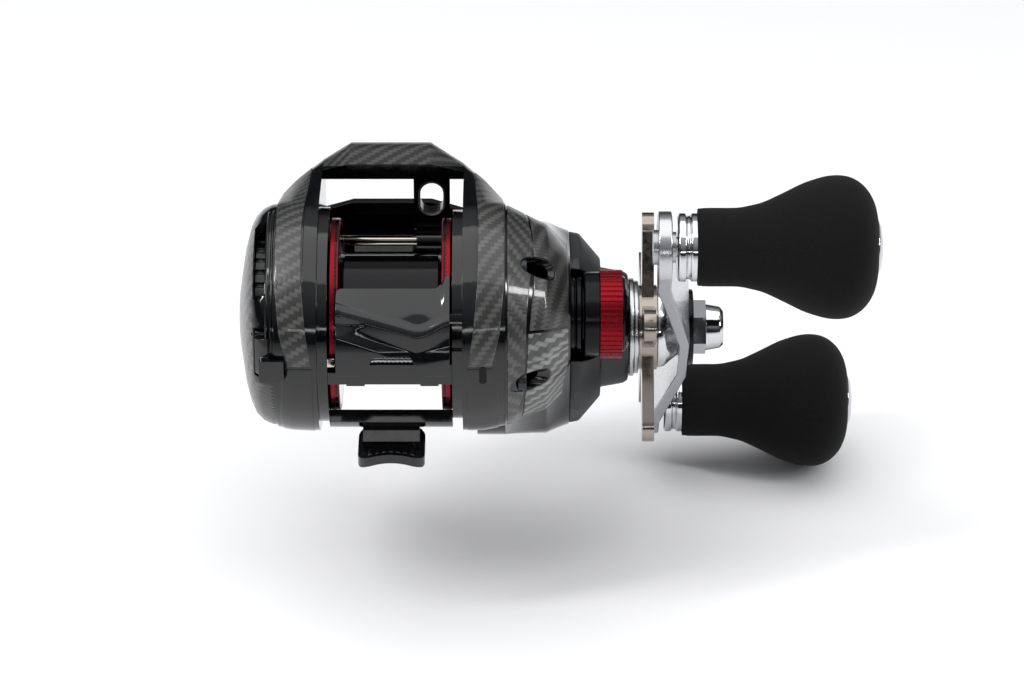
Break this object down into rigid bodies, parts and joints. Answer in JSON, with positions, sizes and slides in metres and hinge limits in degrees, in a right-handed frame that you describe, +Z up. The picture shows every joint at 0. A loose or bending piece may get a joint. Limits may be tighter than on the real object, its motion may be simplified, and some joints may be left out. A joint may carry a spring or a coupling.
{
  "type": "baitcasting reel",
  "caption": "Low-profile baitcasting reel, right-hand retrieve, with a woven-carbon look body, star drag and two foam knobs.",
  "frame": {"origin": "middle of the reel foot's seat, straight below the spool axis", "axes": "+X along the spool axis towards the handle, +Y forward to the rod tip, +Z up"},
  "size_m": [0.1252, 0.0824, 0.0946],
  "materials": {
    "black_frame": "gloss black",
    "carbon_cover": "carbon weave under clear gloss",
    "matte_boss": "matte dark grey",
    "black_screws": "blackened",
    "bearing_steel": "ground",
    "guide_steel": "polished",
    "chrome": "polished",
    "brass_gear": "machined",
    "white_gear": "moulded",
    "brake_plastic": "moulded",
    "spool_aluminium": "black anodised, red rims",
    "ceramic_eye": "polished ceramic",
    "drag_fibre": "woven",
    "silver_arm": "satin silver",
    "black_disc": "black anodised",
    "red_ring": "red anodised",
    "foam_grip": "closed-cell foam"
  },
  "bodies": {
    "frame": {"frame_left_plate": "black_frame", "frame_right_plate": "black_frame", "front_lower_wall": "black_frame", "hood_bar": "black_frame", "front_hood": "carbon_cover", "rear_crossbar": "black_frame", "foot_rear": "black_frame", "foot_front": "black_frame", "left_shoulder_cover": "carbon_cover", "right_shoulder_cover": "carbon_cover", "gear_side_cover": "carbon_cover", "side_cover_screws": "black_screws", "gear_side_boss": "matte_boss", "spool_bearing_right": "bearing_steel", "guide_bar": "guide_steel", "worm_tube": "guide_steel", "drive_bearings": "bearing_steel", "one_way_bearing": "bearing_steel", "cast_collar": "chrome", "thumb_bar_pin": "guide_steel", "thumb_bar_spring": "bearing_steel"},
    "palm_side": {"palm_side_plate": "carbon_cover", "brake_housing": "brake_plastic", "spool_bearing_left": "bearing_steel"},
    "side_plate_lever": {"side_plate_lever": "black_frame"},
    "brake_dial": {"brake_dial": "brake_plastic"},
    "spool": {"spool": "spool_aluminium", "spool_shaft": "bearing_steel", "brake_rotor": "brake_plastic"},
    "pinion": {"pinion_gear": "brass_gear"},
    "clutch_yoke": {"clutch_yoke": "brake_plastic", "clutch_springs": "bearing_steel"},
    "thumb_bar": {"thumb_bar": "black_frame"},
    "line_guide": {"line_guide": "black_frame", "eyelet": "ceramic_eye", "pawl": "guide_steel"},
    "worm": {"worm_shaft": "guide_steel", "worm_gear": "white_gear"},
    "crank": {"drive_shaft": "bearing_steel", "main_gear": "brass_gear", "level_drive_gear": "white_gear", "drag_washers": "drag_fibre", "drag_plates": "bearing_steel", "roller_sleeve": "bearing_steel", "handle_arm": "silver_arm", "nut_disc": "black_disc", "handle_nut": "chrome", "dome_washer": "chrome", "knob_posts": "bearing_steel", "knob_bearings": "bearing_steel", "spring_washers": "bearing_steel"},
    "star_drag": {"star_drag": "silver_arm"},
    "knob_upper": {"knob_grip_upper": "foam_grip", "knob_ferrule_upper": "chrome", "knob_cap_upper": "chrome"},
    "knob_lower": {"knob_grip_lower": "foam_grip", "knob_ferrule_lower": "chrome", "knob_cap_lower": "chrome"},
    "cast_control": {"cast_cap": "black_disc", "cast_grip_ring": "red_ring"}
  },
  "joints": [
    {"name": "handle_crank", "type": "hinge", "parent": "frame", "child": "crank", "pos_m": [0, 0.01418, 0.01242], "axis": [1, 0, 0], "continuous": true},
    {"name": "spool_spin", "type": "hinge", "parent": "frame", "child": "spool", "pos_m": [0, 0, 0.0235], "axis": [1, 0, 0], "continuous": true},
    {"name": "pinion_spin", "type": "hinge", "parent": "clutch_yoke", "child": "pinion", "pos_m": [0, 0, 0.0235], "axis": [1, 0, 0], "continuous": true},
    {"name": "worm_spin", "type": "hinge", "parent": "frame", "child": "worm", "pos_m": [0, 0.02612, 0.01973], "axis": [1, 0, 0], "continuous": true},
    {"name": "line_guide_slide", "type": "slide", "parent": "frame", "child": "line_guide", "axis": [1, 0, 0], "range_m": [-0.0152, 0]},
    {"name": "thumb_bar_press", "type": "hinge", "parent": "frame", "child": "thumb_bar", "pos_m": [0, 0, 0.0235], "axis": [1, 0, 0], "range_deg": [0, 13], "stiffness_Nm_per_rad": 0.12, "springref_deg": -6.88},
    {"name": "clutch_slide", "type": "slide", "parent": "frame", "child": "clutch_yoke", "axis": [1, 0, 0], "range_m": [0, 0.0015], "deforming": ["clutch_springs"]},
    {"name": "star_drag_turn", "type": "hinge", "parent": "crank", "child": "star_drag", "pos_m": [0, 0.01418, 0.01242], "axis": [1, 0, 0], "range_deg": [-360, 360]},
    {"name": "knob_upper_spin", "type": "hinge", "parent": "crank", "child": "knob_upper", "pos_m": [0, -0.01299, 0.04574], "axis": [1, 0, 0], "continuous": true},
    {"name": "knob_lower_spin", "type": "hinge", "parent": "crank", "child": "knob_lower", "pos_m": [0, 0.04136, -0.0209], "axis": [1, 0, 0], "continuous": true},
    {"name": "cast_control_turn", "type": "hinge", "parent": "frame", "child": "cast_control", "pos_m": [0, 0, 0.0235], "axis": [1, 0, 0], "range_deg": [-180, 180]},
    {"name": "palm_side_release", "type": "slide", "parent": "frame", "child": "palm_side", "axis": [-1, 0, 0], "range_m": [0, 0.025]},
    {"name": "brake_dial_turn", "type": "hinge", "parent": "palm_side", "child": "brake_dial", "pos_m": [0, 0, 0.0235], "axis": [1, 0, 0], "range_deg": [-150, 150]},
    {"name": "side_plate_lever_turn", "type": "hinge", "parent": "palm_side", "child": "side_plate_lever", "pos_m": [0, -0.01807, 0.02937], "axis": [1, 0, 0], "range_deg": [-40, 0]}
  ],
  "couplings": [
    {"joint": "spool_spin", "follows": "handle_crank", "ratio": -5},
    {"joint": "pinion_spin", "follows": "handle_crank", "ratio": -5},
    {"joint": "worm_spin", "follows": "handle_crank", "ratio": -1.8},
    {"joint": "clutch_slide", "follows": "thumb_bar_press", "m_per_rad": 0.0066111}
  ]
}
